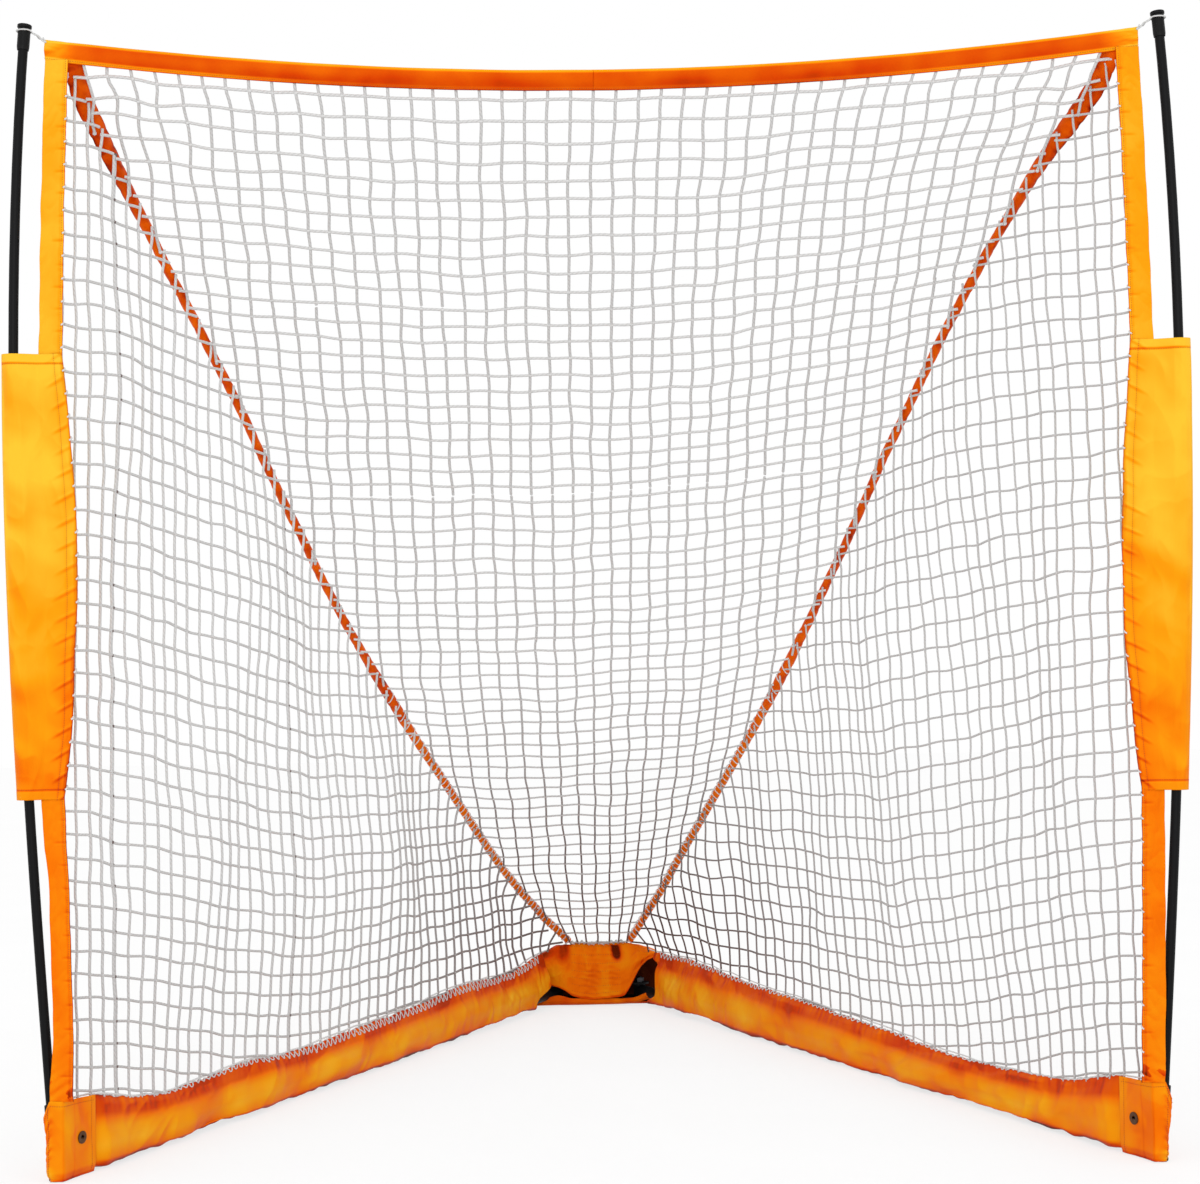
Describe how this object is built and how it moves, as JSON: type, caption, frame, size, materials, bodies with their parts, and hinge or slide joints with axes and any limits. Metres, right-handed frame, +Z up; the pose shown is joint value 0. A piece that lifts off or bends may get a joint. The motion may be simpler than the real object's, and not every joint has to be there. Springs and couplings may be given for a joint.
{
  "type": "lacrosse goal",
  "caption": "Portable lacrosse goal: bowed black poles in a folding V-shaped steel base, with a white net hung between orange cloth bands, sleeves and skirts.",
  "frame": {"origin": "on the floor, at the middle of the goal's footprint", "axes": "+Z up, mouth of the goal towards -Y, folding hub towards +Y, +X to the right seen from in front"},
  "size_m": [2.0616, 1.9084, 2.0009],
  "materials": {
    "black_fibreglass": "smooth satin-gloss pultruded fibreglass rod",
    "black_plastic": "fine matte moulded cap",
    "black_steel": "black powder coat",
    "zinc_steel": "bright zinc plate",
    "black_rubber": "matte moulded rubber",
    "orange_cloth": "coated satin polyester, wrinkled",
    "red_orange_cloth": "creased polyester band, laced by the net",
    "white_net": "braided white cord in square mesh",
    "white_cord": "braided white cord",
    "eyelet_metal": "plated grommet"
  },
  "bodies": {
    "hub": {"hub_plate_lower": "black_steel", "hub_plate_upper": "black_steel", "hub_web": "black_steel", "hub_cover": "orange_cloth", "top_band": "orange_cloth", "back_net": "white_net", "left_hub_bolt": "zinc_steel", "right_hub_bolt": "zinc_steel", "left_hub_nut": "zinc_steel", "right_hub_nut": "zinc_steel", "left_hub_pad": "black_rubber", "right_hub_pad": "black_rubber"},
    "left_arm": {"left_pivot_bush": "black_steel", "left_arm_rear_tube": "black_steel", "left_arm_front_tube": "black_steel", "left_button_spring": "zinc_steel", "left_pole_socket": "black_steel", "left_foot_plug": "black_rubber", "left_pole_lower": "black_fibreglass", "left_pole_ferrule": "zinc_steel", "left_pole_upper": "black_fibreglass", "left_pole_cap": "black_plastic", "left_corner_cord": "white_cord", "left_side_band_upper": "orange_cloth", "left_side_band_lower": "orange_cloth", "left_pole_sleeve": "orange_cloth", "left_base_skirt": "orange_cloth", "left_corner_pocket": "orange_cloth", "left_eyelet": "eyelet_metal", "left_diagonal_strap": "red_orange_cloth", "left_side_net": "white_net"},
    "left_button": {"left_snap_button": "zinc_steel"},
    "right_arm": {"right_pivot_bush": "black_steel", "right_arm_rear_tube": "black_steel", "right_arm_front_tube": "black_steel", "right_button_spring": "zinc_steel", "right_pole_socket": "black_steel", "right_foot_plug": "black_rubber", "right_pole_lower": "black_fibreglass", "right_pole_ferrule": "zinc_steel", "right_pole_upper": "black_fibreglass", "right_pole_cap": "black_plastic", "right_corner_cord": "white_cord", "right_side_band_upper": "orange_cloth", "right_side_band_lower": "orange_cloth", "right_pole_sleeve": "orange_cloth", "right_base_skirt": "orange_cloth", "right_corner_pocket": "orange_cloth", "right_eyelet": "eyelet_metal", "right_diagonal_strap": "red_orange_cloth", "right_side_net": "white_net"},
    "right_button": {"right_snap_button": "zinc_steel"}
  },
  "joints": [
    {"name": "left_arm_fold", "type": "hinge", "parent": "hub", "child": "left_arm", "pos_m": [-0.105, 0.91527, 0.028], "axis": [0, 0, 1], "range_deg": [0, 24.5], "deforming": ["back_net", "top_band", "hub_cover"]},
    {"name": "left_button_press", "type": "slide", "parent": "left_arm", "child": "left_button", "axis": [0, 0, -1], "range_m": [0, 0.0043], "stiffness_N_per_m": 800, "springref_m": -0.003, "deforming": ["left_button_spring"]},
    {"name": "right_arm_fold", "type": "hinge", "parent": "hub", "child": "right_arm", "pos_m": [0.105, 0.91527, 0.028], "axis": [0, 0, -1], "range_deg": [0, 24.5], "deforming": ["back_net", "top_band", "hub_cover"]},
    {"name": "right_button_press", "type": "slide", "parent": "right_arm", "child": "right_button", "axis": [0, 0, -1], "range_m": [0, 0.0043], "stiffness_N_per_m": 800, "springref_m": -0.003, "deforming": ["right_button_spring"]}
  ]
}
